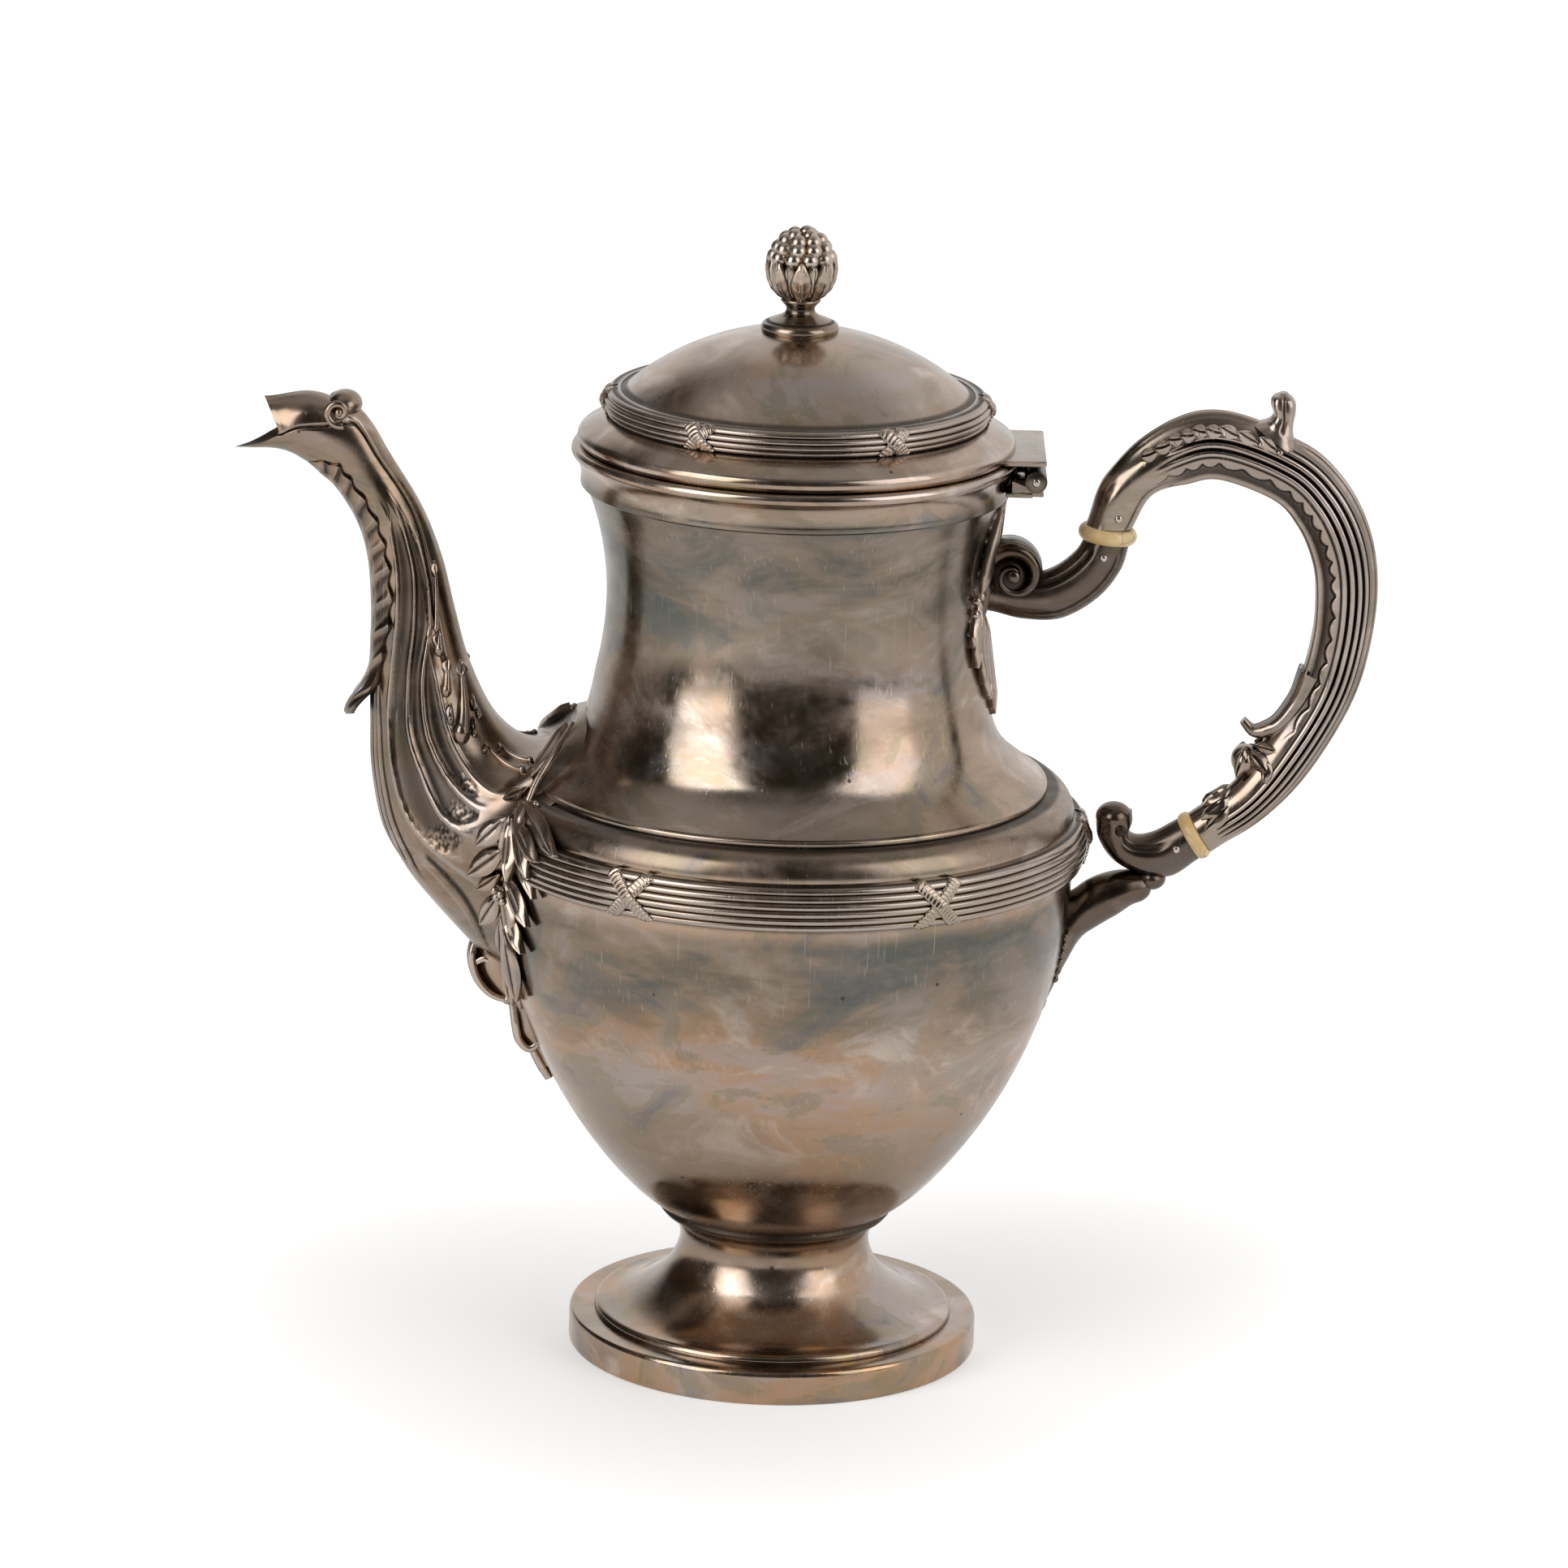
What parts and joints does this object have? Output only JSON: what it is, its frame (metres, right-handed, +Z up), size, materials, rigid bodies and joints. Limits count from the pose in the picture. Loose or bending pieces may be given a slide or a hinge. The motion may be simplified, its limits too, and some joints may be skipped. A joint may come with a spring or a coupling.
{
  "type": "coffee pot",
  "caption": "Footed silver coffee pot with a fluted swan-neck spout, hinged domed lid with a berry finial, and a scroll handle set between pale insulating collars.",
  "frame": {"origin": "centre of the foot's resting face", "axes": "+Z up, -X towards the spout, +X towards the handle, -Y towards the viewer of the picture"},
  "size_m": [0.248, 0.1322, 0.2515],
  "materials": {
    "silver": "polished and tarnished",
    "cast_silver": "polished cast relief with dark recesses",
    "chased_silver": "chased relief with dark recesses",
    "ivory": "polished, finely cracked",
    "bright_pin": "polished"
  },
  "bodies": {
    "pot": {"foot_rim": "silver", "foot_pedestal": "silver", "bowl": "silver", "neck": "silver", "mouth_collar": "silver", "belly_band": "silver", "belly_ribbons": "chased_silver", "spout": "cast_silver", "spout_leaf": "chased_silver", "laurel_sprays": "chased_silver", "ribbon_bow": "chased_silver", "handle_grip": "cast_silver", "upper_insulator": "ivory", "lower_insulator": "ivory", "cross_pins": "bright_pin", "leaf_mount": "chased_silver", "upper_socket": "cast_silver", "lower_socket": "cast_silver", "lower_bracket": "cast_silver", "hinge_body_leaf": "silver", "hinge_pin": "bright_pin"},
    "lid": {"hinge_lid_leaf": "silver", "lid_flange": "silver", "lid_bezel": "silver", "lid_band": "silver", "lid_ribbons": "chased_silver", "lid_dome": "silver", "finial_stem": "silver", "finial_nut": "silver", "finial_leaf_cup": "chased_silver", "finial_berries": "chased_silver"}
  },
  "joints": [
    {"name": "lid_hinge", "type": "hinge", "parent": "pot", "child": "lid", "pos_m": [0.0514, 0, 0.1998], "axis": [0, 1, 0], "range_deg": [0, 95]}
  ]
}
